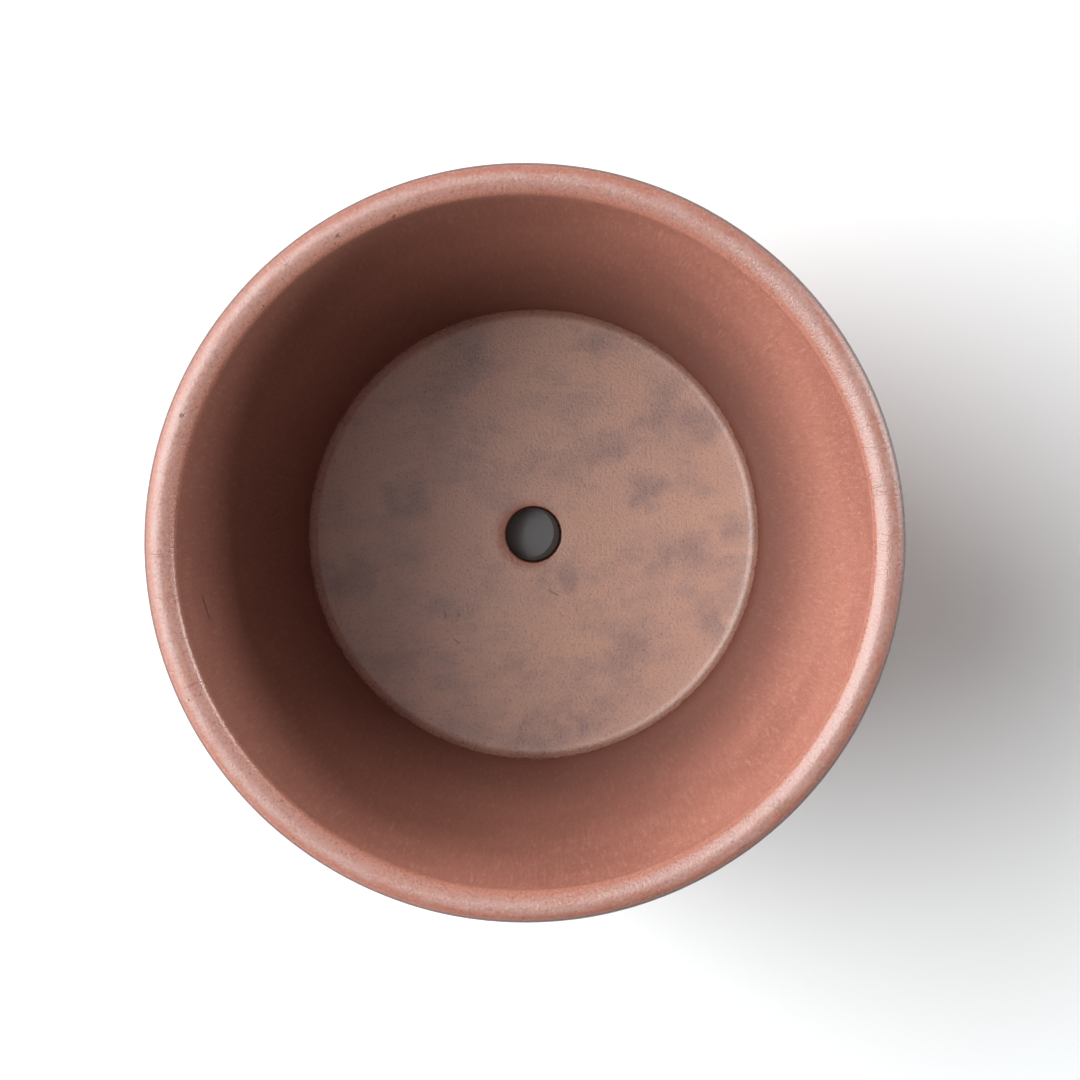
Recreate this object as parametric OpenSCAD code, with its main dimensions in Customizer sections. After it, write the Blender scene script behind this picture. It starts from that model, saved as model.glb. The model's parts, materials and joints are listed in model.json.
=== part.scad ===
// Terracotta flower pot: one piece of fired clay, turned about the Z axis.
// Millimetres, +Z up, with the origin at the centre of the foot's resting plane.

/* [Overall size] */
// Outer diameter across the lip
rim_d = 200; // [190:1:215]
// Height from the foot to the crest of the lip
pot_h = 180; // [165:1:195]

/* [Collar and lip] */
// Height at which the collar's shoulder stands out from the body
collar_z = 145; // [135:1:150]
// Outer diameter of the collar at its shoulder
collar_d = 196.4; // [194:0.2:198]
// Wall thickness at the lip
lip_t = 8.6; // [7.5:0.1:10]
// Fall of the lip from its crest to each edge, in degrees
lip_slope = 28; // [22:1:32]
// Radius of the lip's crest
crest_r = 4.2; // [3:0.1:4.4]
// Radius of the lip's outer edge
outer_edge_r = 3.8; // [2:0.1:4.2]
// Radius of the lip's inner edge, which is the tighter one
inner_edge_r = 2.4; // [1:0.1:3.5]

/* [Body] */
// Outer diameter of the body where it meets the collar
body_top_d = 187; // [184:0.5:190]
// Outer diameter of the foot
base_d = 147; // [144:0.5:150]
// Radius round the foot's outer edge
foot_edge_r = 2; // [1:0.1:3]
// Radius of the collar's shoulder and of the corner under it
shoulder_r = 1.4; // [0.6:0.1:2]

/* [Inside] */
// Height of the inner floor above the foot's resting plane
floor_z = 12; // [10:0.5:15]
// Diameter of the inner floor, to the corner of wall and floor
floor_d = 135.6; // [130:0.2:138]
// Radius of the hollow corner between wall and floor
floor_corner_r = 4; // [2:0.5:6]

/* [Underside] */
// Inner diameter of the foot ring
foot_ring_d = 116; // [100:1:124]
// Depth of the recess inside the foot ring
recess_h = 1.5; // [1:0.1:2.5]
// Radius of the foot ring's inner edge and of the recess's corner
recess_r = 0.6; // [0.3:0.1:0.6]

/* [Drain hole] */
// Diameter of the drain hole's bore
drain_d = 15.6; // [12:0.2:20]
// Width of the worn edge where the bore opens into the floor
drain_edge_w = 1.15; // [0.5:0.05:1.5]
// Angle by which the punched bore leans from upright
drain_tilt = 10.5; // [0:0.5:12]
// Compass direction, from +X, towards which the bore's lower end leans
drain_heading = 165; // [0:5:355]

/* [Hidden] */
$fn = 180;

arc_step = 9;        // degrees of turn between the points along a rounded corner
clay = [0.72, 0.42, 0.35];
over = 2;            // how far a cutter runs past the face that it cuts

rim_r = rim_d / 2;
crest_z = pot_h + crest_r * (1 / cos(lip_slope) - 1);
lip_edge_z = crest_z - lip_t / 2 * tan(lip_slope);
drain_r = drain_d / 2;

// Half of the pot's section, as [radius, height, rounding]: out along the
// underside, up the outside, over the lip and back down the inside.
SECTION = [
    [0, recess_h, 0],
    [foot_ring_d / 2 - recess_h, recess_h, recess_r],
    [foot_ring_d / 2, 0, recess_r],
    [base_d / 2, 0, foot_edge_r],
    [body_top_d / 2, collar_z, shoulder_r],
    [collar_d / 2, collar_z, shoulder_r],
    [rim_r, lip_edge_z, outer_edge_r],
    [rim_r - lip_t / 2, crest_z, crest_r],
    [rim_r - lip_t, lip_edge_z, inner_edge_r],
    [floor_d / 2, floor_z, floor_corner_r],
    [0, floor_z, 0],
];

function unit(v) = v / norm(v);
function turned(v, angle) = [
    v.x * cos(angle) - v.y * sin(angle),
    v.x * sin(angle) + v.y * cos(angle),
];

// The corner b between the points a and c, rounded to radius r.
function rounded(a, b, c, r) =
    r == 0 ? [b] :
    let (
        to_a = unit(a - b),
        to_c = unit(c - b),
        half = acos(to_a * to_c) / 2,
        centre = b + unit(to_a + to_c) * r / sin(half),
        spoke = b + to_a * r / tan(half) - centre,
        sweep = (180 - 2 * half) * sign(cross(to_c, to_a)),
        steps = ceil(abs(sweep) / arc_step)
    )
    [for (i = [0 : steps]) centre + turned(spoke, sweep * i / steps)];

function flat(corner) = [corner.x, corner.y];

function outline(corners) = [
    for (i = [0 : len(corners) - 1])
        let (
            before = corners[max(i - 1, 0)],
            after = corners[min(i + 1, len(corners) - 1)]
        )
        each rounded(flat(before), flat(corners[i]), flat(after), corners[i].z)
];

// The leaning bore, open at both ends.
module drain_bore() {
    translate([0, 0, floor_z])
        rotate([0, 0, drain_heading])
            rotate([0, -drain_tilt, 0])
                translate([0, 0, -2 * floor_z])
                    cylinder(r = drain_r, h = 2 * floor_z + over);
}

// The worn edge where the bore opens into the floor, as the cone that it removes.
module drain_edge() {
    reach = drain_edge_w + over;
    translate([0, 0, floor_z - reach])
        cylinder(r1 = drain_r - over, r2 = drain_r + reach, h = reach + over);
}

module pot() {
    color(clay)
        difference() {
            rotate_extrude()
                polygon(outline(SECTION));
            drain_bore();
            drain_edge();
        }
}

pot();
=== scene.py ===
# %% [markdown]
# # A terracotta pot
#
# This pot is one lump of red clay. It was turned on a wheel, pierced with a stick while it was
# still soft, dried, and fired once with no glaze. So it has no joins, and everything that there
# is to see is its shape, its lip, its hole and what wear and water have done to its skin.
#
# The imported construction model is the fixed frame. Its mounts give the drain hole, and its box is
# what the sizes here are held against.

# %% Load the frame
import json
import math
from collections import namedtuple

import bmesh
import bpy
import numpy as np
from mathutils import Matrix, Vector


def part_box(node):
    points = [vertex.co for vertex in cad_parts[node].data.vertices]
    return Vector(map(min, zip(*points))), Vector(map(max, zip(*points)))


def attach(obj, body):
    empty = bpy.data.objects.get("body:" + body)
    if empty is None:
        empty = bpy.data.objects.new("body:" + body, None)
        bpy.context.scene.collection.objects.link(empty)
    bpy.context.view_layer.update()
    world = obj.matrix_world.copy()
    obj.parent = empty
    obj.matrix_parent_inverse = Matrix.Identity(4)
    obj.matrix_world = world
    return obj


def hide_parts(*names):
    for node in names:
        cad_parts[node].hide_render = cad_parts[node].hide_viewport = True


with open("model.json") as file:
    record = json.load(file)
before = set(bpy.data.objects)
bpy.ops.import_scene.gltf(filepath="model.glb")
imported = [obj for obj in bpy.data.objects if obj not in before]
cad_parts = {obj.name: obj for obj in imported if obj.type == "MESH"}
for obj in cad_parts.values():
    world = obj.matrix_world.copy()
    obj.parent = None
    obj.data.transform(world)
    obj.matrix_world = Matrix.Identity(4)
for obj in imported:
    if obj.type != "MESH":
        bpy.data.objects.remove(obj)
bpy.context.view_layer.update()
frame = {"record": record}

MM = 0.001

# %% [markdown]
# ## Helpers for node trees
#
# Geometry trees and material trees are built the same way: a node is added, its settings are
# set, and each input is either a plain value or the output of another node. These few helpers
# make each step of a tree one line. A feature's size is given in metres, because a noise
# texture's scale says how many features fit in a metre, which is hard to picture.


# %% Helpers for node trees
def add(tree, kind, inputs=None, **settings):
    """A new node. An input is a plain value or another node's output."""
    node = tree.nodes.new(kind)
    for name, value in settings.items():
        setattr(node, name, value)
    for name, value in (inputs or {}).items():
        if isinstance(value, bpy.types.NodeSocket):
            tree.links.new(value, node.inputs[name])
        else:
            node.inputs[name].default_value = value
    return node


def sum_of(tree, operation, *values):
    """The result of one sum on numbers."""
    inputs = dict(enumerate(values))
    return add(tree, "ShaderNodeMath", inputs, operation=operation).outputs[0]


def vector_sum(tree, operation, *values):
    """The result of one sum on vectors."""
    inputs = dict(enumerate(values))
    return add(tree, "ShaderNodeVectorMath", inputs, operation=operation).outputs[0]


def fade(tree, value, start, end):
    """Nought at start and one at end, with a smooth run between them."""
    inputs = {"Value": value, "From Min": start, "From Max": end}
    node = add(tree, "ShaderNodeMapRange", inputs, interpolation_type="SMOOTHSTEP")
    return node.outputs[0]


def grain(tree, vector, size, detail=3.0, roughness=0.5, seed=0.0):
    """Cloudy noise from nought to one, whose clouds are about size metres across."""
    inputs = {
        "Vector": vector,
        "W": seed,
        "Scale": 1 / size,
        "Detail": detail,
        "Roughness": roughness,
    }
    return add(tree, "ShaderNodeTexNoise", inputs, noise_dimensions="4D").outputs[0]


print("helpers are ready")

# %% [markdown]
# ## The section of the wall
#
# A potter checks a turned pot with a rib cut to its section, and the same outline is all that
# this shape needs. It runs once round the clay: out along the underside, up the outside, over
# the lip, down the inside, across the floor and back down through the drain hole. Because it
# ends where it began, the turned shape is closed with no pole in it.
#
# Each corner is given as a radius, a height, how far it is rounded, and how far apart the rows
# of the mesh lie on the way to the next corner. The lip and the hole's edge catch the light, so
# their rows lie closest.

# %% Corners of the section
Corner = namedtuple("Corner", "r z rounding gap")

pot_low, pot_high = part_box("pot")
drain = next(mount for mount in frame["record"]["mounts"] if mount["name"] == "drain_hole")
drain_axis = Vector(drain["axis"])

RIM_R = 100.0 * MM
POT_H = 180.0 * MM
LIP_T = 8.6 * MM
LIP_SLOPE = math.radians(28)
CREST_ROUNDING = 4.2 * MM
COLLAR_Z = 145.0 * MM
COLLAR_R = 98.2 * MM
BODY_R = 93.5 * MM
FOOT_R = 73.5 * MM
FOOT_RING_R = 58.0 * MM
RECESS = 1.5 * MM
FLOOR_Z = 12.0 * MM
FLOOR_R = 67.8 * MM
HOLE_R = drain["dims"]["r_mm"] * MM
HOLE_EDGE = 1.25 * MM

CREST_Z = POT_H + CREST_ROUNDING * (1 / math.cos(LIP_SLOPE) - 1)
LIP_EDGE_Z = CREST_Z - LIP_T / 2 * math.tan(LIP_SLOPE)

CORNERS = [
    Corner(HOLE_R, RECESS, 0.4 * MM, 8 * MM),
    Corner(FOOT_RING_R - RECESS, RECESS, 0.6 * MM, 2 * MM),
    Corner(FOOT_RING_R, 0.0, 0.6 * MM, 4 * MM),
    Corner(FOOT_R, 0.0, 2.0 * MM, 5.5 * MM),
    Corner(BODY_R, COLLAR_Z, 1.4 * MM, 1.2 * MM),
    Corner(COLLAR_R, COLLAR_Z, 1.4 * MM, 4 * MM),
    Corner(RIM_R, LIP_EDGE_Z, 3.8 * MM, 0.7 * MM),
    Corner(RIM_R - LIP_T / 2, CREST_Z, CREST_ROUNDING, 0.7 * MM),
    Corner(RIM_R - LIP_T, LIP_EDGE_Z, 2.4 * MM, 5 * MM),
    Corner(FLOOR_R, FLOOR_Z, 4.0 * MM, 4.5 * MM),
    Corner(HOLE_R, FLOOR_Z, HOLE_EDGE, 2.5 * MM),
]
print("the frame's pot, mm:", [round(side / MM, 1) for side in pot_high - pot_low])
print("this section, mm:", round(2 * RIM_R / MM, 1), "wide and", round(POT_H / MM, 1), "high")
print("corners:", len(CORNERS), "| hole radius, mm:", round(HOLE_R / MM, 2))


# %% [markdown]
# A corner becomes an arc that touches both of its sides, and the straight stretches between the
# arcs are cut into rows. Every row also carries how far it is from the crest of the lip, along
# the skin of the clay: positive on the inside and negative on the outside. The finish uses that
# length later to know whether it is on the lip, the wall, the floor or the hole.


# %% Rows of the section
ARC_STEP = math.radians(11)


def rounded(before, corner, after):
    """The points of the arc that rounds one corner."""
    here = Vector((corner.r, corner.z))
    to_before = (Vector((before.r, before.z)) - here).normalized()
    to_after = (Vector((after.r, after.z)) - here).normalized()
    half = to_before.angle(to_after) / 2
    centre = here + (to_before + to_after).normalized() * corner.rounding / math.sin(half)
    spoke = here + to_before * corner.rounding / math.tan(half) - centre
    sweep = math.copysign(math.pi - 2 * half, to_after.cross(to_before))
    steps = max(3, round(abs(sweep) / ARC_STEP))
    turns = [Matrix.Rotation(sweep * step / steps, 2) for step in range(steps + 1)]
    return [centre + turn @ spoke for turn in turns]


def stretch(start, end, gap):
    """Points between start and end, evenly spaced and at most gap apart."""
    steps = max(1, math.ceil((end - start).length / gap))
    return [start.lerp(end, step / steps) for step in range(1, steps)]


def section_rows():
    """The points of the closed section, in order."""
    points = []
    for number, corner in enumerate(CORNERS):
        arc = rounded(CORNERS[number - 1], corner, CORNERS[(number + 1) % len(CORNERS)])
        if points:
            points += stretch(points[-1], arc[0], CORNERS[number - 1].gap)
        points += arc
    points += stretch(points[-1], points[0], CORNERS[-1].gap)
    return points


rows = section_rows()
print("rows in the section:", len(rows))

# %% [markdown]
# The stick that pierced the floor leaned a little, so the hole does too. Its lower end is moved
# aside, and the underside next to it follows and fades back to round.

# %% Where the hole leans
HOLE_FADE = 22 * MM
lean_slope = math.hypot(drain_axis.x, drain_axis.y) / drain_axis.z
lean_heading = math.atan2(-drain_axis.y, -drain_axis.x)


def lean_of(point):
    """How far a row is moved aside by the lean of the hole."""
    depth = max(0.0, FLOOR_Z - point.y)
    nearness = 1 - (point.x - HOLE_R - HOLE_EDGE) / HOLE_FADE
    return depth * lean_slope * min(1.0, max(0.0, nearness))


print("hole leans, degrees:", round(math.degrees(math.atan(lean_slope)), 1))

# %% [markdown]
# ## Turning the section
#
# The section could be spun with the Screw modifier, but a hand-turned pot is never quite round:
# it settles as it dries, and its wall swells and thins a little. A Geometry Nodes tree does both.
# It bends a flat grid round the axis, one row of the grid for each row of the section, welds
# the two seams, and then pushes the skin in and out by a fraction of a millimetre.
#
# The section goes into the tree as a string of loose points that carry their own length and
# lean, so the same tree would turn any other section.

# %% The section as a string of points
crest_row = max(range(len(rows)), key=lambda row: rows[row].y)
gaps = [(rows[(row + 1) % len(rows)] - rows[row]).length for row in range(len(rows))]
lengths = np.concatenate(([0.0], np.cumsum(gaps)))
from_crest = lengths - lengths[crest_row]

string = bpy.data.meshes.new("section")
closed = rows + [rows[0]]
string.from_pydata([(point.x, 0.0, point.y) for point in closed], [], [])
leans = [lean_of(point) for point in closed]
for name, values in {"along": from_crest, "lean": leans}.items():
    carried = string.attributes.new(name, "FLOAT", "POINT")
    carried.data.foreach_set("value", np.asarray(values, np.float32))
hole_row = max(row for row, point in enumerate(rows) if point.y > FLOOR_Z - 0.1 * MM)
HOLE_TOP = from_crest[hole_row]
print("skin from the crest, mm:", round(from_crest[0] / MM), "to", round(from_crest[-1] / MM))
print("hole's edge is at, mm:", round(HOLE_TOP / MM, 1))


# %% The tree that turns it
WELD = 0.001 * MM


def named_input(tree, name, kind, value=None):
    """A named input of a geometry tree, with its starting value."""
    socket = tree.interface.new_socket(name, in_out="INPUT", socket_type=kind)
    if value is not None:
        socket.default_value = value
    return socket.identifier


def turning_tree():
    """The tree that turns a section, and the identifiers of its inputs."""
    tree = bpy.data.node_groups.new("turn a section", "GeometryNodeTree")
    ids = {
        "section": named_input(tree, "Section", "NodeSocketGeometry"),
        "columns": named_input(tree, "Columns", "NodeSocketInt", 8),
        "rows": named_input(tree, "Rows", "NodeSocketInt", 8),
        "heading": named_input(tree, "Lean heading", "NodeSocketFloat", 0.0),
        "oval": named_input(tree, "Out of round", "NodeSocketFloat", 0.0),
        "swell": named_input(tree, "Swell of the skin", "NodeSocketFloat", 0.0),
        "seed": named_input(tree, "Seed", "NodeSocketFloat", 0.0),
        "clay": named_input(tree, "Clay", "NodeSocketMaterial"),
    }
    tree.interface.new_socket("Pot", in_out="OUTPUT", socket_type="NodeSocketGeometry")
    given = add(tree, "NodeGroupInput").outputs
    bent, fields = bend_grid(tree, given)
    marked = mark_corners(tree, bent, fields)
    welded = add(tree, "GeometryNodeMergeByDistance", {"Geometry": marked, "Distance": WELD})
    settled = settle(tree, welded.outputs[0], given)
    smooth = add(tree, "GeometryNodeSetShadeSmooth", {"Geometry": settled})
    real = add(tree, "GeometryNodeRealizeInstances", {"Geometry": smooth.outputs[0]})
    clad = {"Geometry": real.outputs[0], "Material": given["Clay"]}
    finished = add(tree, "GeometryNodeSetMaterial", clad)
    add(tree, "NodeGroupOutput", {"Pot": finished.outputs[0]})
    return tree, ids


print("seams are welded within, mm:", round(WELD / MM, 3))

# %% [markdown]
# A grid's vertices are numbered up each column in turn, so a vertex's number gives its column
# and its row. The column becomes an angle and the row is looked up in the section.


# %% Bending the grid
def sampled(tree, section, row, name, kind="FLOAT"):
    """What the section carries at that row."""
    if name == "position":
        value = add(tree, "GeometryNodeInputPosition").outputs[0]
    else:
        value = add(tree, "GeometryNodeInputNamedAttribute", {"Name": name}).outputs[0]
    inputs = {"Geometry": section, "Value": value, "Index": row}
    return add(tree, "GeometryNodeSampleIndex", inputs, data_type=kind).outputs[0]


def bend_grid(tree, given):
    """A grid bent round the axis, and its turn and length fields."""
    across = sum_of(tree, "ADD", given["Columns"], 1)
    up = sum_of(tree, "ADD", given["Rows"], 1)
    grid = add(tree, "GeometryNodeMeshGrid", {"Vertices X": across, "Vertices Y": up})
    number = add(tree, "GeometryNodeInputIndex").outputs[0]
    column = sum_of(tree, "FLOOR", sum_of(tree, "DIVIDE", sum_of(tree, "ADD", number, 0.5), up))
    row = sum_of(tree, "SUBTRACT", number, sum_of(tree, "MULTIPLY", column, up))
    turn = sum_of(tree, "DIVIDE", column, given["Columns"])
    angle = sum_of(tree, "MULTIPLY", turn, 2 * math.pi)
    place = sampled(tree, given["Section"], row, "position", "FLOAT_VECTOR")
    round_axis = {"Vector": place, "Angle": angle}
    spun = add(tree, "ShaderNodeVectorRotate", round_axis, rotation_type="Z_AXIS").outputs[0]
    lean = sampled(tree, given["Section"], row, "lean")
    aside = add(tree, "ShaderNodeCombineXYZ", {"X": lean}).outputs[0]
    heading = {"Vector": aside, "Angle": given["Lean heading"]}
    leant = add(tree, "ShaderNodeVectorRotate", heading, rotation_type="Z_AXIS").outputs[0]
    moved = {"Geometry": grid.outputs["Mesh"], "Position": vector_sum(tree, "ADD", spun, leant)}
    bent = add(tree, "GeometryNodeSetPosition", moved).outputs[0]
    fields = {"turn": turn, "along": sampled(tree, given["Section"], row, "along")}
    return bent, fields


print("bending is ready")

# %% [markdown]
# The turn and the length are kept on the corners of the faces, not on the vertices. At a seam
# the same vertex is both the start and the end, and only a corner can hold both values. The
# vertices of the two edges are then welded, and the clay settles: above the foot, the pot goes a
# little out of round and its skin swells and thins.


# %% Marking the corners, and settling
def mark_corners(tree, geometry, fields):
    """Keeps each field on the corners of the faces."""
    for name, field in fields.items():
        held = add(tree, "GeometryNodeFieldOnDomain", {"Value": field}, domain="POINT")
        inputs = {"Geometry": geometry, "Name": name, "Value": held.outputs[0]}
        kept = add(tree, "GeometryNodeStoreNamedAttribute", inputs, domain="CORNER")
        geometry = kept.outputs[0]
    return geometry


def settle(tree, geometry, given):
    """Lets the clay settle out of round and swell, but not at its foot."""
    place = add(tree, "GeometryNodeInputPosition").outputs[0]
    parts = add(tree, "ShaderNodeSeparateXYZ", {"Vector": place}).outputs
    free = fade(tree, parts["Z"], FLOOR_Z, POT_H / 2)
    angle = sum_of(tree, "ARCTAN2", parts["Y"], parts["X"])
    lobes = sum_of(tree, "COSINE", sum_of(tree, "MULTIPLY", angle, 2))
    oval = sum_of(tree, "MULTIPLY", sum_of(tree, "SUBTRACT", lobes, 1), given["Out of round"])
    flat = vector_sum(tree, "MULTIPLY", place, (1, 1, 0))
    outward = vector_sum(tree, "NORMALIZE", flat)
    drift = add(tree, "ShaderNodeVectorMath", {0: outward, "Scale": oval}, operation="SCALE")
    cloud = grain(tree, place, 45 * MM, 2.0, 0.5, given["Seed"])
    swell = sum_of(tree, "MULTIPLY", sum_of(tree, "SUBTRACT", cloud, 1), given["Swell of the skin"])
    normal = add(tree, "GeometryNodeInputNormal").outputs[0]
    push = add(tree, "ShaderNodeVectorMath", {0: normal, "Scale": swell}, operation="SCALE")
    both = vector_sum(tree, "ADD", drift.outputs[0], push.outputs[0])
    offset = add(tree, "ShaderNodeVectorMath", {0: both, "Scale": free}, operation="SCALE")
    inputs = {"Geometry": geometry, "Offset": offset.outputs[0]}
    return add(tree, "GeometryNodeSetPosition", inputs).outputs[0]


print("marking and settling are ready")

# %% [markdown]
# The tree is hung on the string of points, its inputs are set, and the turned result is kept as
# a plain mesh.

# %% Turn the pot
COLUMNS = 560
OUT_OF_ROUND = 0.10 * MM
SWELL = 0.25 * MM
SWELL_SEED = 4.0

clay = bpy.data.materials.new("fired_terracotta")


def turn_pot():
    """The turned pot as a plain mesh object."""
    tree, ids = turning_tree()
    maker = bpy.data.objects.new("pot_section", string)
    bpy.context.scene.collection.objects.link(maker)
    modifier = maker.modifiers.new("turning", "NODES")
    modifier.node_group = tree
    modifier[ids["columns"]] = COLUMNS
    modifier[ids["rows"]] = len(rows)
    modifier[ids["heading"]] = lean_heading
    modifier[ids["oval"]] = OUT_OF_ROUND
    modifier[ids["swell"]] = SWELL
    modifier[ids["seed"]] = SWELL_SEED
    modifier[ids["clay"]] = clay
    shape = maker.evaluated_get(bpy.context.evaluated_depsgraph_get())
    mesh = bpy.data.meshes.new_from_object(shape)
    bpy.data.objects.remove(maker)
    made = bpy.data.objects.new("turned_pot", mesh)
    bpy.context.scene.collection.objects.link(made)
    return made


def closed_volume(mesh):
    """The number of open edges, and the volume in cubic centimetres."""
    check = bmesh.new()
    check.from_mesh(mesh)
    open_edges = sum(not edge.is_manifold for edge in check.edges)
    volume = check.calc_volume(signed=True)
    check.free()
    return open_edges, volume * 1e6


pot = turn_pot()
print("triangles:", 2 * len(pot.data.polygons), "| open edges, cm3:", closed_volume(pot.data))
print("pot, mm:", [round(side / MM, 2) for side in pot.dimensions])

# %% [markdown]
# ## The finish
#
# Bare fired clay is never one colour. The iron in it burns darker where the fire was hotter, the
# potter's fingers leave lines round the wall, salts bloom pale on the lip, and whatever stood in
# the pot leaves a film on its floor. Painted shade darkens the wall from below, the corner of the
# floor, the side of the lip and the hole, and the pale bloom on the lip is partly a painted
# highlight. One material makes them in layers, the clay's own marks in the order in which they
# came about on the real pot.
#
# A colour is written as on a paint chart, in parts of 255, and turned into the linear light that
# Blender counts in.


# %% Colours
def paint(red, green, blue):
    """A chart colour as linear light."""
    parts = [part / 255 for part in (red, green, blue)]
    linear = [p / 12.92 if p <= 0.04045 else ((p + 0.055) / 1.055) ** 2.4 for p in parts]
    return (*linear, 1.0)


CLAY = paint(164, 104, 88)
CLAY_DEEP = paint(148, 90, 76)
CLAY_PALE = paint(184, 124, 106)
# painted shade: the darker clay laid deep on the wall and at the corner of the floor
CLAY_SHADE_PAINT = paint(124, 68, 56)
# salt bloom and painted highlight: the pale neutral colour on the crown of the lip
LIP_BLOOM_AND_HIGHLIGHT = paint(186, 152, 144)
FILM_TAN = paint(228, 182, 160)
FILM_GREY = paint(186, 144, 136)
FILM_WARM = paint(232, 186, 160)
KNOCK = paint(84, 52, 50)
# painted shade: the thin dark line where the lip turns down to its side
LIP_SHADE_PAINT = paint(66, 40, 34)
SOOT = paint(80, 50, 44)
SALT = paint(222, 184, 166)
print("clay as linear light:", [round(part, 3) for part in CLAY[:3]])

# %% [markdown]
# Every layer needs to know where it is. A place on the skin is read in two ways: as a plain
# place in the pot's own frame, and as a direction round the axis with a length along the skin.
# The second way lets a pattern be stretched round the pot, as turning stretches it.

# %% Places on the skin
FILM_EDGE = 171.6 * MM
Place = namedtuple("Place", "spot ring along")


def read_place(tree):
    """Where a point of the skin is."""
    spot = add(tree, "ShaderNodeTexCoord").outputs["Object"]
    flat = vector_sum(tree, "MULTIPLY", spot, (1, 1, 0))
    ring = vector_sum(tree, "NORMALIZE", flat)
    along = add(tree, "ShaderNodeAttribute", attribute_name="along").outputs["Fac"]
    return Place(spot, ring, along)


def skin(tree, place, around, across):
    """The skin measured in features that are around wide round the pot and across wide along it."""
    scaled = {0: place.ring, "Scale": RIM_R / around}
    ring = add(tree, "ShaderNodeVectorMath", scaled, operation="SCALE").outputs[0]
    rise = sum_of(tree, "DIVIDE", place.along, across)
    return vector_sum(tree, "ADD", ring, add(tree, "ShaderNodeCombineXYZ", {"Z": rise}).outputs[0])


def layer(tree, amount, under, over):
    """One colour laid over another."""
    mixer = add(tree, "ShaderNodeMix", {"Factor": amount}, data_type="RGBA")
    for socket, colour in ((mixer.inputs[6], under), (mixer.inputs[7], over)):
        if isinstance(colour, bpy.types.NodeSocket):
            tree.links.new(colour, socket)
        else:
            socket.default_value = colour
    return mixer.outputs[2]


def share(tree, amount, most):
    """An amount, at most so much."""
    return sum_of(tree, "MULTIPLY", amount, most)


def strayed(tree, value, noise, reach):
    """A length that strays by up to half of reach either way, so that an edge set by it is ragged."""
    return sum_of(tree, "MULTIPLY_ADD", sum_of(tree, "SUBTRACT", noise, 0.5), reach, value)


print("a place has:", ", ".join(Place._fields))

# %% [markdown]
# ### Clay
#
# A cloud of noise gives the clay its fire marks, and one that is stretched round the pot gives it
# the lines of turning. Fine noise scatters specks of soot and salt over everything. The inside of
# the wall has been scraped up and down by roots and trowels, so there the specks are drawn out
# into marks. Low down the wall is painted darker, most of all near the floor: painted shade.


# %% Clay
SCRAPE_SHARE = 0.16
WALL_SHADE_SHARE = 0.78


def bare_clay(tree, place):
    """The colour of the clay, and its turning lines."""
    fire = grain(tree, place.spot, 55 * MM, 3.0, 0.55, seed=1.0)
    lines = grain(tree, skin(tree, place, 60 * MM, 1.3 * MM), 1.0, 3.0, 0.6, seed=2.0)
    colour = layer(tree, fade(tree, fire, 0.35, 0.7), CLAY, CLAY_DEEP)
    return layer(tree, share(tree, fade(tree, lines, 0.45, 0.8), 0.2), colour, CLAY_PALE), lines


def grimed(tree, colour, noise, amount):
    """Specks of soot where the noise is low and of salt where it is high."""
    soot = sum_of(tree, "MULTIPLY", fade(tree, noise, 0.48, 0.34), amount)
    salt = sum_of(tree, "MULTIPLY", fade(tree, noise, 0.53, 0.67), amount)
    return layer(tree, salt, layer(tree, soot, colour, SOOT), SALT)


def scraped(tree, place, colour):
    """Fine marks up and down the inside of the wall, and how strong they are."""
    inside = fade(tree, place.along, 4 * MM, 12 * MM)
    inside = sum_of(tree, "MULTIPLY", inside, fade(tree, place.along, FILM_EDGE, 150 * MM))
    marks = grain(tree, skin(tree, place, 0.9 * MM, 8 * MM), 1.0, 3.0, 0.7, seed=12.0)
    colour = grimed(tree, colour, marks, share(tree, inside, SCRAPE_SHARE))
    return colour, sum_of(tree, "MULTIPLY", inside, marks)


def painted_wall_shade(tree, place, colour):
    """The wall painted darker low down, most of all near the floor: painted shade."""
    cloud = grain(tree, skin(tree, place, 50 * MM, 20 * MM), 1.0, 4.0, 0.6, seed=4.0)
    depth = strayed(tree, place.along, cloud, 40 * MM)
    # painted shade: the wall gets darker towards the floor
    shade_amount = fade(tree, depth, 60 * MM, 165 * MM)
    return layer(tree, share(tree, shade_amount, WALL_SHADE_SHARE), colour, CLAY_SHADE_PAINT)


print("share of scrapes and of damp, at most:", SCRAPE_SHARE, WALL_SHADE_SHARE)

# %% [markdown]
# ### Lip
#
# The lip is handled, wetted and dried more than the rest, so its clay is paler, and salts bloom
# on its crown. The pale bloom is partly salt and partly a painted highlight; it is thickest on the
# crest and breaks up towards both edges. A thin dark line where the lip turns down to its side is
# painted shade.

# %% Wash on the lip
LIP_INSIDE = 5.5 * MM
LIP_OUTSIDE = 2.4 * MM
LIP_SIDE = 3.3 * MM


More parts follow.
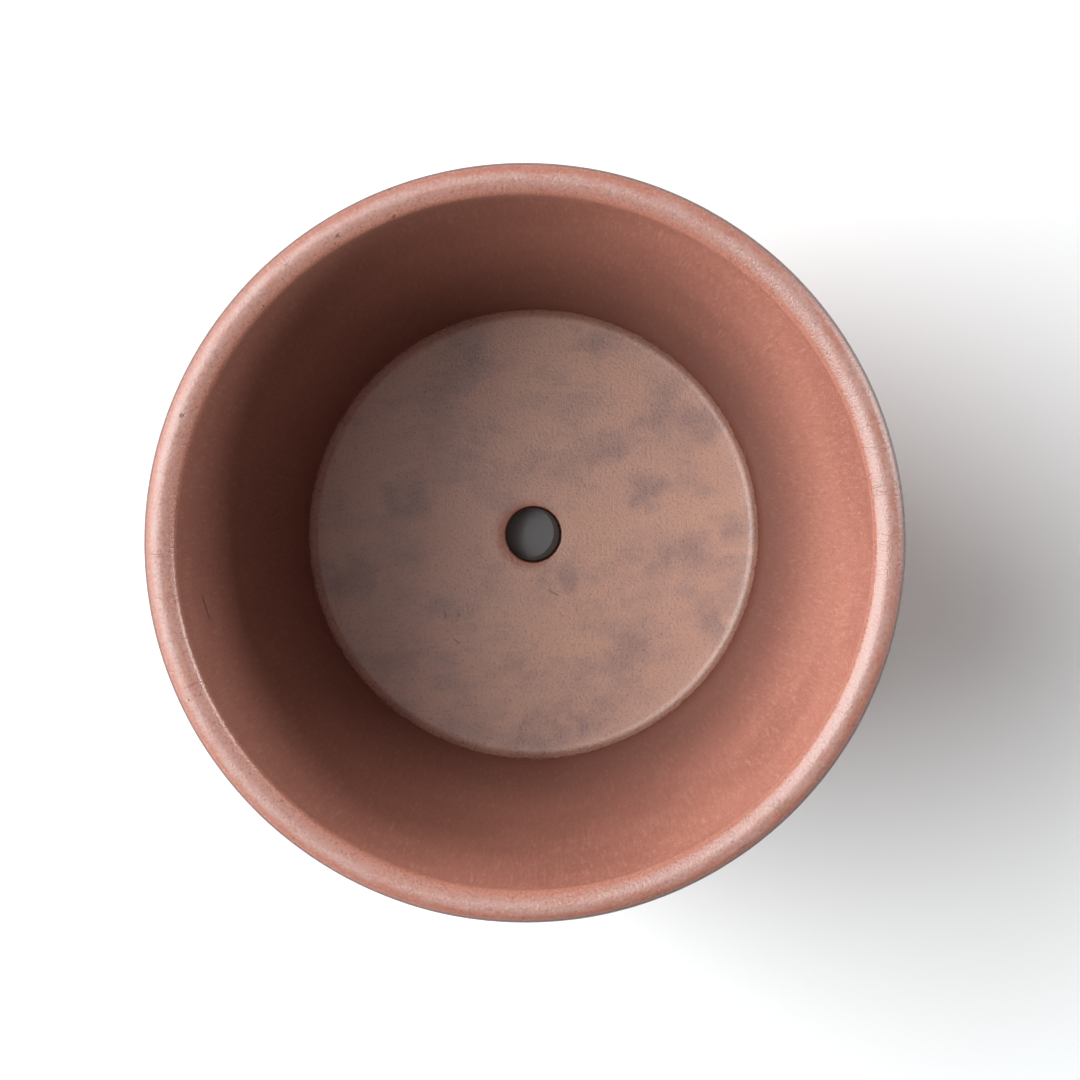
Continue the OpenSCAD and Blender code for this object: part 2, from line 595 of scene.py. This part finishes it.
def lip_pale_highlight_and_shade(tree, place, colour):
    """Pale clay on the lip, the bloom and painted highlight on its crown and painted shade at its side.
    """
    handled = sum_of(
        tree,
        "MULTIPLY",
        fade(tree, place.along, -4.5 * MM, -1 * MM),
        fade(tree, place.along, 8 * MM, 6 * MM),
    )
    colour = layer(tree, share(tree, handled, 0.8), colour, CLAY_PALE)
    patch = grain(tree, skin(tree, place, 9 * MM, 3 * MM), 1.0, 4.0, 0.65, seed=5.0)
    edge = strayed(tree, place.along, patch, 5 * MM)
    inner = fade(tree, edge, LIP_INSIDE, LIP_INSIDE - 4 * MM)
    outer = fade(tree, edge, -LIP_OUTSIDE, 0.0)
    # the pale bloom is partly salt and partly a painted highlight
    bloom_and_highlight = sum_of(tree, "MULTIPLY", inner, outer)
    bloom_and_highlight = sum_of(tree, "MULTIPLY", bloom_and_highlight, fade(tree, patch, 0.2, 0.6))
    colour = layer(tree, share(tree, bloom_and_highlight, 0.7), colour, LIP_BLOOM_AND_HIGHLIGHT)
    # painted shade: a thin dark line just below the outer edge of the lip
    lip_shade = fade(tree, place.along, -LIP_SIDE, -LIP_SIDE - 0.6 * MM)
    below = fade(tree, place.along, -LIP_SIDE - 4.5 * MM, -LIP_SIDE - 2.5 * MM)
    lip_shade = sum_of(tree, "MULTIPLY", lip_shade, below)
    return layer(tree, share(tree, lip_shade, 0.75), colour, LIP_SHADE_PAINT)


print("bloom, mm of skin:", round(-LIP_OUTSIDE / MM, 1), "to", round(LIP_INSIDE / MM, 1))

# %% [markdown]
# ### Floor
#
# Standing water has left a thin grey-tan film on the floor, which ends at the corner of the wall
# in a slightly ragged line. At that corner the film is painted darker: painted shade in the hollow.
# Clouds of noise mottle the film, and a few larger stains are put where they lie on the real floor.

# %% Film on the floor
STAINS = [
    (41, 34, 8),
    (50, 33, 7),
    (21, 25, 7),
    (33, 12, 6),
    (40, -7, 9),
    (10, -14, 6),
    (62, 2, 7),
    (53, -26, 7),
    (29, -32, 8),
    (0, -61, 8),
    (14, -58, 5),
    (-18, 55, 8),
    (20, 57, 7),
    (-40, 8, 8),
    (-55, -14, 8),
]


def stained(tree, place):
    """Soft dark stains with broken edges."""
    inputs = {"Vector": place.spot, "Scale": 1 / (9 * MM), "Detail": 4.0}
    wander = add(tree, "ShaderNodeTexNoise", inputs).outputs["Color"]
    push = vector_sum(tree, "SUBTRACT", wander, (0.5, 0.5, 0.5))
    spot = vector_sum(tree, "MULTIPLY_ADD", push, (30 * MM, 16 * MM, 0), place.spot)
    total = 0.0
    for x, y, size in STAINS:
        centre = (x * MM, y * MM, FLOOR_Z)
        apart = {0: spot, 1: centre}
        far = add(tree, "ShaderNodeVectorMath", apart, operation="DISTANCE").outputs[1]
        total = sum_of(tree, "MAXIMUM", total, fade(tree, far, 1.3 * size * MM, 0.0))
    return total


def floor_film(tree, place, colour):
    """The film on the floor."""
    ragged = grain(tree, place.spot, 2.2 * MM, 3.0, 0.6, seed=7.0)
    edge = strayed(tree, place.along, ragged, 1.6 * MM)
    amount = fade(tree, edge, FILM_EDGE - 0.4 * MM, FILM_EDGE + 0.4 * MM)
    wide = vector_sum(tree, "MULTIPLY", place.spot, (0.6, 1, 1))
    cloud = grain(tree, wide, 11 * MM, 5.0, 0.65, seed=8.0)
    warm = grain(tree, wide, 24 * MM, 3.0, 0.5, seed=9.0)
    film = layer(tree, fade(tree, warm, 0.45, 0.7), FILM_TAN, FILM_WARM)
    film = layer(tree, share(tree, fade(tree, cloud, 0.46, 0.66), 0.5), film, FILM_GREY)
    film = layer(tree, share(tree, stained(tree, place), 0.75), film, FILM_GREY)
    # painted shade: the film darkened at the corner where the floor meets the wall
    corner_shade = fade(tree, place.along, FILM_EDGE + 3 * MM, FILM_EDGE + 0.5 * MM)
    film = layer(tree, share(tree, corner_shade, 0.5), film, CLAY_SHADE_PAINT)
    return layer(tree, amount, colour, film)


print("stains:", len(STAINS), "| the film begins at, mm:", round(FILM_EDGE / MM, 1))

# %% [markdown]
# ### Hole
#
# Water and trowels have rubbed the film off round the hole, most of all on the side to which the
# pot drains, so the red clay shows there. The edge itself is painted black and the bore below it
# painted dark brown: painted shade in the hole.

# %% Wear at the hole
# painted shade: the dark brown bore and the black edge of the hole
BORE_SHADE = paint(80, 60, 52)
HOLE_EDGE_SHADE = paint(26, 16, 13)
HOLE_WORN = paint(196, 118, 88)
DRAINS_TO = math.radians(200)


def hole_wear_and_shade(tree, place, colour):
    """Red clay round the hole, with painted shade as a black edge and a dark brown bore."""
    ragged = grain(tree, place.spot, 2.5 * MM, 3.0, 0.6, seed=11.0)
    drains = {0: place.ring, 1: (math.cos(DRAINS_TO), math.sin(DRAINS_TO), 0)}
    drains = add(tree, "ShaderNodeVectorMath", drains, operation="DOT_PRODUCT").outputs[1]
    edge = strayed(tree, place.along, ragged, 2.4 * MM)
    edge = sum_of(tree, "MULTIPLY_ADD", drains, 1.2 * MM, edge)
    worn = fade(tree, edge, HOLE_TOP - 3.0 * MM, HOLE_TOP + 0.4 * MM)
    colour = layer(tree, share(tree, worn, 0.9), colour, HOLE_WORN)
    # painted shade: the black edge where the floor turns down into the hole
    edge_shade = fade(tree, place.along, HOLE_TOP - 0.1 * MM, HOLE_TOP + 0.2 * MM)
    colour = layer(tree, share(tree, edge_shade, 0.95), colour, HOLE_EDGE_SHADE)
    # painted shade: the bore painted dark brown
    bore_shade = fade(tree, place.along, HOLE_TOP + 0.9 * MM, HOLE_TOP + 1.9 * MM)
    return layer(tree, bore_shade, colour, BORE_SHADE)


print("the pot drains to, degrees:", round(math.degrees(DRAINS_TO)))

# %% [markdown]
# ### Cracks, specks, scratches and knocks
#
# The lip has crazed into fine lines that run across it. A Voronoi texture breaks the skin into
# cells, and the borders between the cells are the cracks. The same texture gives small specks,
# one in a few of its cells, where grit has popped out. The scratches and knocks that stand out
# are put where the real ones are.


# %% Cracks and specks
def cracks(tree, place, around, across, width, seed):
    """Fine broken lines: one on a line and nought between them."""
    mesh = skin(tree, place, around, across)
    wander = add(tree, "ShaderNodeTexNoise", {"Vector": mesh, "Scale": 1.7, "Detail": 4.0})
    push = vector_sum(tree, "SUBTRACT", wander.outputs["Color"], (0.5, 0.5, 0.5))
    bent = vector_sum(tree, "MULTIPLY_ADD", push, (0.3, 0.3, 0.3), mesh)
    cells = add(tree, "ShaderNodeTexVoronoi", {"Vector": bent, "Scale": 1.0}, feature="DISTANCE_TO_EDGE")
    lines = fade(tree, cells.outputs["Distance"], width, 0.0)
    broken = fade(tree, grain(tree, mesh, 2.5, 3.0, 0.6, seed), 0.5, 0.66)
    return sum_of(tree, "MULTIPLY", lines, broken)


def specks(tree, place, size, chance, seed):
    """Dots in some cells: one at a dot's middle and nought between the dots."""
    inputs = {"Vector": place.spot, "Scale": 1 / size, "Detail": 2.0}
    wander = add(tree, "ShaderNodeTexNoise", inputs).outputs["Color"]
    shifted = vector_sum(tree, "MULTIPLY_ADD", wander, (1.4 * size, 1.4 * size, 1.4 * size), place.spot)
    shifted = vector_sum(tree, "ADD", shifted, (seed, seed, seed))
    cells = add(tree, "ShaderNodeTexVoronoi", {"Vector": shifted, "Scale": 0.3 / size})
    lot = add(tree, "ShaderNodeSeparateColor", {"Color": cells.outputs["Color"]}).outputs[0]
    chosen = fade(tree, lot, 1 - chance, 1 - chance + 0.01)
    dot = fade(tree, cells.outputs["Distance"], 0.25, 0.05)
    return sum_of(tree, "MULTIPLY", dot, chosen)


print("cracks and specks are ready")

# %% Scratches
WALL_SCRATCH = ((189.0, 30.5), (194.3, 33.8))
FLOOR_SCRATCHES = [
    ((-26.7, -23.0), (-26.2, -25.6)),
    ((-22.6, -23.2), (-22.0, -25.0)),
    ((-24.3, -31.2), (-21.8, -33.2)),
    ((4.0, -16.6), (8.2, -18.6)),
]


def on_skin(heading, along):
    """A heading in degrees and a length in mm as a place on the measured skin."""
    turn = math.radians(heading)
    return Vector((RIM_R * math.cos(turn), RIM_R * math.sin(turn), along * MM))


def scratch(tree, where, start, end, width):
    """A thin line: one on it and nought beside it."""
    way = end - start
    offset = vector_sum(tree, "SUBTRACT", where, (start + end) / 2)
    run = {0: offset, 1: way.normalized()}
    run = add(tree, "ShaderNodeVectorMath", run, operation="DOT_PRODUCT").outputs[1]
    aside = {0: vector_sum(tree, "CROSS_PRODUCT", offset, way.normalized())}
    aside = add(tree, "ShaderNodeVectorMath", aside, operation="LENGTH").outputs[1]
    reach = fade(tree, sum_of(tree, "ABSOLUTE", run), 0.55 * way.length, 0.25 * way.length)
    return sum_of(tree, "MULTIPLY", reach, fade(tree, aside, width, 0.3 * width))


def wall_scratch(tree, place):
    """The scratch on the wall."""
    start, end = (on_skin(*point) for point in WALL_SCRATCH)
    return scratch(tree, skin(tree, place, 1.0, 1.0), start, end, 1.0 * MM)


def floor_scratches(tree, place):
    """The small scratches on the floor."""
    total = 0.0
    for ends in FLOOR_SCRATCHES:
        start, end = (Vector((x * MM, y * MM, FLOOR_Z)) for x, y in ends)
        total = sum_of(tree, "MAXIMUM", total, scratch(tree, place.spot, start, end, 0.4 * MM))
    return total


print("scratches:", 1 + len(FLOOR_SCRATCHES))

# %% Knocks
KNOCKS = [
    (110.8, -3.3, 0.8),
    (111.8, 4.7, 1.0),
    (112.9, 5.3, 0.5),
    (121.2, 2.3, 0.9),
    (122.4, 3.7, 0.5),
    (137.8, 4.2, 0.6),
    (157.5, 3.8, 0.5),
    (159.5, 0.8, 1.0),
    (205.0, -0.8, 0.4),
    (205.1, 2.8, 0.5),
    (220.0, 2.8, 0.5),
    (226.8, 3.8, 0.4),
]


def knocks(tree, place):
    """The knocks on the lip."""
    inputs = {"Vector": place.spot, "Scale": 1 / (0.7 * MM), "Detail": 2.0}
    wander = add(tree, "ShaderNodeTexNoise", inputs).outputs["Color"]
    push = vector_sum(tree, "SUBTRACT", wander, (0.5, 0.5, 0.5))
    reach = (1.6 * MM, 1.6 * MM, 1.6 * MM)
    spot = vector_sum(tree, "MULTIPLY_ADD", push, reach, skin(tree, place, 1.0, 1.0))
    total = 0.0
    for heading, along, size in KNOCKS:
        apart = {0: spot, 1: on_skin(heading, along)}
        far = add(tree, "ShaderNodeVectorMath", apart, operation="DISTANCE").outputs[1]
        total = sum_of(tree, "MAXIMUM", total, fade(tree, far, size * MM, 0.1 * size * MM))
    return total


print("knocks:", len(KNOCKS))

# %% [markdown]
# ### The material
#
# The layers are laid in order. Unglazed clay is rough right down to its grains, so it sends light
# back more evenly than a smooth matt surface does, and the shader has a setting for that. Hands
# have rubbed a slight gloss into the lip, and water into the floor, so both are less rough than
# the rest. The bump's height is in metres, so a crack that is 0.05 mm deep is written as it is.


# %% Damage and rubbing
def damage(tree, place):
    """Each kind of damage as an amount, how dark it is and how deep it is in mm."""
    near_lip = fade(tree, sum_of(tree, "ABSOLUTE", place.along), 12 * MM, 6 * MM)
    crazed = cracks(tree, place, 1.5 * MM, 5 * MM, 0.06, 21.0)
    grit = specks(tree, place, 0.45 * MM, 0.04, 0.0)
    pops = specks(tree, place, 0.9 * MM, 0.008, 0.5)
    return [
        (sum_of(tree, "MULTIPLY", crazed, near_lip), 0.35, 0.04),
        (sum_of(tree, "MAXIMUM", grit, pops), 0.4, 0.03),
        (wall_scratch(tree, place), 1.0, 0.08),
        (floor_scratches(tree, place), 0.4, 0.05),
        (knocks(tree, place), 0.7, 0.2),
    ]


def unrubbed(tree, place):
    """Nought where hands and water have smoothed the lip and the floor, and one elsewhere."""
    outer = fade(tree, place.along, 3 * MM, -5 * MM)
    inner = fade(tree, place.along, 6 * MM, 12 * MM)
    inner = sum_of(tree, "MULTIPLY", inner, fade(tree, place.along, FILM_EDGE, FILM_EDGE - 4 * MM))
    return sum_of(tree, "ADD", outer, inner)


print("damage and rubbing are ready")

# %% The material
GRAIN_DEPTH = 0.16 * MM
LINE_DEPTH = 0.03 * MM
SCRAPE_DEPTH = 0.02 * MM
RUBBED_ROUGHNESS = 0.19
GRAIN_ROUGHNESS = 0.2
UNRUBBED_ROUGHNESS = 0.18
GLOSS = 0.85
SPECK_SHARE = 0.24


def coloured(tree, place):
    """The colour before any damage, and the patterns that the bumps follow."""
    colour, lines = bare_clay(tree, place)
    colour = painted_wall_shade(tree, place, colour)
    colour, scrapes = scraped(tree, place, colour)
    colour = lip_pale_highlight_and_shade(tree, place, colour)
    colour = floor_film(tree, place, colour)
    dust = grain(tree, place.spot, 0.8 * MM, 3.0, 0.7, seed=3.0)
    colour = grimed(tree, colour, dust, SPECK_SHARE)
    colour = hole_wear_and_shade(tree, place, colour)
    return colour, lines, scrapes, dust


def fire_clay():
    """Builds the pot's material and says how many nodes it has."""
    clay.use_nodes = True
    tree = clay.node_tree
    shader = tree.nodes["Principled BSDF"]
    place = read_place(tree)
    colour, lines, scrapes, dust = coloured(tree, place)
    height = sum_of(tree, "MULTIPLY", dust, GRAIN_DEPTH)
    height = sum_of(tree, "MULTIPLY_ADD", lines, LINE_DEPTH, height)
    for amount, darkness, depth in damage(tree, place):
        colour = layer(tree, share(tree, amount, darkness), colour, KNOCK)
        height = sum_of(tree, "MULTIPLY_ADD", amount, -depth * MM, height)
    height = sum_of(tree, "MULTIPLY_ADD", scrapes, SCRAPE_DEPTH, height)
    rough = sum_of(tree, "MULTIPLY_ADD", dust, GRAIN_ROUGHNESS, RUBBED_ROUGHNESS)
    rough = sum_of(tree, "MULTIPLY_ADD", unrubbed(tree, place), UNRUBBED_ROUGHNESS, rough)
    bump = add(tree, "ShaderNodeBump", {"Height": height, "Distance": 1.0})
    tree.links.new(colour, shader.inputs["Base Color"])
    tree.links.new(rough, shader.inputs["Roughness"])
    tree.links.new(bump.outputs[0], shader.inputs["Normal"])
    shader.inputs["Diffuse Roughness"].default_value = 1.0
    shader.inputs["Specular IOR Level"].default_value = GLOSS
    return len(tree.nodes)


print("nodes in the material:", fire_clay())

# %% [markdown]
# ## The finish laid flat
#
# A library keeps the finish as flat pictures, so the skin needs a map of where each bit of it
# lies on them. A pot's skin comes off in strips and discs: the inside and the outside of the wall
# and the bore are strips, the floor and the underside are discs, and the lip is given strips of
# its own, twice as fine, because it carries the most detail.

# %% The flat map
Chart = namedtuple("Chart", "low high start stop left bottom width height disc")
FOOT_ROW = -182 * MM
LIP_LOW, LIP_HIGH = -9 * MM, 8 * MM
CHARTS = [
    Chart(-1, FOOT_ROW, 0, 1, 0.36, 0.65, 0.34, 0.34, FOOT_R),
    Chart(FOOT_ROW, LIP_LOW, 0, 1, 0.01, 0.01, 0.98, 0.25, None),
    Chart(LIP_LOW, LIP_HIGH, 0, 0.5, 0.01, 0.53, 0.98, 0.05, None),
    Chart(LIP_LOW, LIP_HIGH, 0.5, 1, 0.01, 0.59, 0.98, 0.05, None),
    Chart(LIP_HIGH, FILM_EDGE, 0, 1, 0.01, 0.27, 0.98, 0.25, None),
    Chart(FILM_EDGE, HOLE_TOP, 0, 1, 0.01, 0.65, 0.34, 0.34, FLOOR_R),
    Chart(HOLE_TOP, 1, 0, 1, 0.72, 0.65, 0.27, 0.06, None),
]


def per_face(mesh, name):
    """A corner attribute as one row of four for each face."""
    values = np.empty(len(mesh.loops), np.float32)
    mesh.attributes[name].data.foreach_get("value", values)
    return values.reshape(-1, 4)


def on_chart(chart, turn, along, corners):
    """Where the corners of a chart's faces lie on the flat map."""
    if chart.disc:
        across, up = corners[..., 0], corners[..., 1]
        across, up = (0.5 + 0.49 * value / chart.disc for value in (across, up))
    else:
        across = (turn - chart.start) / (chart.stop - chart.start)
        up = (along - along.min()) / (along.max() - along.min())
    return np.stack([chart.left + across * chart.width, chart.bottom + up * chart.height], -1)


def lay_flat(mesh):
    """Gives the mesh its flat map, and counts the faces in each chart."""
    turn, along = per_face(mesh, "turn"), per_face(mesh, "along")
    places = np.empty(3 * len(mesh.vertices), np.float32)
    mesh.vertices.foreach_get("co", places)
    numbers = np.empty(len(mesh.loops), np.int32)
    mesh.loops.foreach_get("vertex_index", numbers)
    corners = places.reshape(-1, 3)[numbers].reshape(-1, 4, 3)
    flat = np.zeros((*turn.shape, 2))
    counts = []
    for chart in CHARTS:
        middle, side = along.mean(1), turn.mean(1)
        inside = (middle >= chart.low) & (middle < chart.high)
        inside &= (side >= chart.start) & (side < chart.stop)
        flat[inside] = on_chart(chart, turn[inside], along[inside], corners[inside])
        counts.append(int(inside.sum()))
    flat_map = mesh.uv_layers.new(name="OFBake")
    flat_map.data.foreach_set("uv", flat.ravel())
    return counts


charted = lay_flat(pot.data)
print("faces in each chart:", charted, "| left over:", len(pot.data.polygons) - sum(charted))
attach(pot, "root")
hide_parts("pot")

# %% [markdown]
# ## The stage
#
# The pot stands on a plain pale floor. Under the drain hole the floor is painted darker, a painted
# shadow which shows only as the grey at the bottom of the hole.

# %% Floor
FLOOR_SIZE = 6.0
SHADE_PATCH_R = 30 * MM
DRY_FLOOR = (0.90, 0.93, 0.935, 1)
# painted shadow: the floor colour under the drain hole
FLOOR_SHADE_PAINT = (0.33, 0.33, 0.33, 1)


def make_ground():
    """The pale floor."""
    mesh = bpy.data.meshes.new("ground")
    half = FLOOR_SIZE / 2
    corners = [(-half, -half, 0), (half, -half, 0), (half, half, 0), (-half, half, 0)]
    mesh.from_pydata(corners, [], [(0, 1, 2, 3)])
    made = bpy.data.objects.new("ground", mesh)
    bpy.context.scene.collection.objects.link(made)
    pale = bpy.data.materials.new("pale_floor")
    pale.use_nodes = True
    tree = pale.node_tree
    shader = tree.nodes["Principled BSDF"]
    spot = add(tree, "ShaderNodeTexCoord").outputs["Object"]
    far = add(tree, "ShaderNodeVectorMath", {0: spot}, operation="LENGTH").outputs[1]
    # painted shadow: the floor is darkened under the drain hole
    shade_amount = fade(tree, far, SHADE_PATCH_R, 0.5 * SHADE_PATCH_R)
    tree.links.new(layer(tree, shade_amount, DRY_FLOOR, FLOOR_SHADE_PAINT), shader.inputs["Base Color"])
    shader.inputs["Roughness"].default_value = 0.9
    mesh.materials.append(pale)
    return made


ground = make_ground()
print("floor, m:", FLOOR_SIZE, "| damp under the hole, mm:", round(SHADE_PATCH_R / MM))

# %% [markdown]
# The camera looks almost straight down from a little over a metre. It hangs a thumb's width off
# the pot's axis, so the wall shows a little more on one side than on the other. Its upper edge is
# kept along the frame's +Y by building its axes one by one, because a camera that only tracks a
# point may roll when it looks down.

# %% Camera
LENS = 140.5
SENSOR = 36
CAMERA_RISE = 1100 * MM
CAMERA_PLACE = Vector((18 * MM, 18 * MM, POT_H + CAMERA_RISE))
CAMERA_TARGET = Vector((4.1 * MM, 0.9 * MM, POT_H))


def make_camera():
    """The camera, almost straight above the pot."""
    made = bpy.data.objects.new("camera", bpy.data.cameras.new("camera"))
    bpy.context.scene.collection.objects.link(made)
    made.data.lens = LENS
    made.data.sensor_width = SENSOR
    back = (CAMERA_PLACE - CAMERA_TARGET).normalized()
    right = Vector((0, 1, 0)).cross(back).normalized()
    facing = Matrix((right, back.cross(right), back)).transposed()
    made.matrix_world = Matrix.Translation(CAMERA_PLACE) @ facing.to_4x4()
    bpy.context.scene.camera = made
    return made


camera = make_camera()
print("camera leans from upright, degrees:", round(math.degrees(camera.rotation_euler.x), 2))

# %% [markdown]
# Four lamps light the pot. A wide soft box at the upper left gives it its shape and its soft
# shadow. A small high lamp and one nearly overhead reach down to the floor of the pot and through
# its hole. A low lamp on the other side draws the thin pale lines along the edges of the lip.

# %% Light
Lamp = namedtuple("Lamp", "name azimuth elevation width height power")
LAMP_AWAY = 2.0
WORLD_GLOW = 0.03
LAMPS = [
    Lamp("soft box", 169, 42, 2.3, 2.2, 94),
    Lamp("high lamp", 165, 72, 0.6, 0.6, 4.4),
    Lamp("top lamp", 165, 87, 0.5, 0.5, 1.2),
    Lamp("low lamp", 20, 13, 0.9, 0.9, 35),
]


def hang(lamp):
    """Hangs a lamp that points at the pot."""
    light = bpy.data.lights.new(lamp.name, "AREA")
    light.shape = "RECTANGLE"
    light.size = lamp.width
    light.size_y = lamp.height
    light.energy = lamp.power
    made = bpy.data.objects.new(lamp.name, light)
    turn, rise = math.radians(lamp.azimuth), math.radians(lamp.elevation)
    flat = math.cos(rise)
    ray = Vector((flat * math.cos(turn), flat * math.sin(turn), math.sin(rise)))
    made.location = ray * LAMP_AWAY
    made.rotation_euler = (-ray).to_track_quat("-Z", "Y").to_euler()
    bpy.context.scene.collection.objects.link(made)


for lamp in LAMPS:
    hang(lamp)

world = bpy.data.worlds.new("studio")
bpy.context.scene.world = world
world.use_nodes = True
world.node_tree.nodes["Background"].inputs["Color"].default_value = (1, 1, 1, 1)
world.node_tree.nodes["Background"].inputs["Strength"].default_value = WORLD_GLOW
bpy.context.scene.view_settings.view_transform = "Standard"
print("lamps:", [f"{lamp.name}, {lamp.power} W" for lamp in LAMPS])
